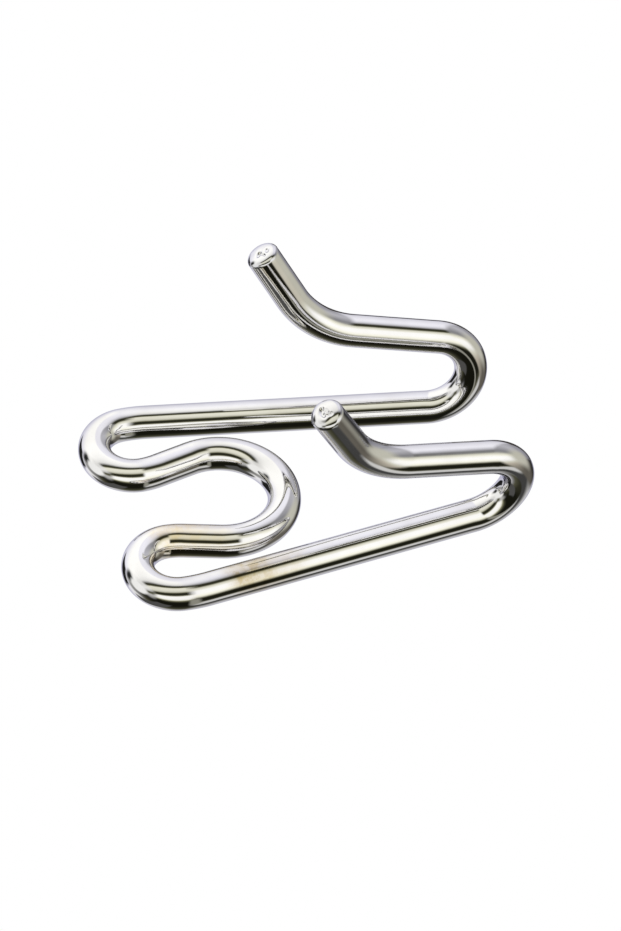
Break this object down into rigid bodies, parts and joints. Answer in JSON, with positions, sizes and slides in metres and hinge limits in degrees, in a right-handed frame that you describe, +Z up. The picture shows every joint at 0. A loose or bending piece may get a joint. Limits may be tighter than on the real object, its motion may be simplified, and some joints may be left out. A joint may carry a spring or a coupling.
{
  "type": "bent wire link",
  "caption": "Link bent from one round chrome-plated steel wire: open central loop, U-turn pockets, long legs, hooks, and blunt prongs that stand up.",
  "frame": {"origin": "middle of the link's outline seen from above, at the level of the surface that it rests on", "axes": "+X towards the two hooks, +Y towards the left leg, +Z up, the way the prongs point; the link is symmetric about the XZ plane"},
  "size_m": [0.0402, 0.0266, 0.0224],
  "materials": {
    "chrome_wire": "polished chrome plating on steel wire"
  },
  "bodies": {
    "root": {"bent_wire_link": "chrome_wire"}
  },
  "joints": []
}
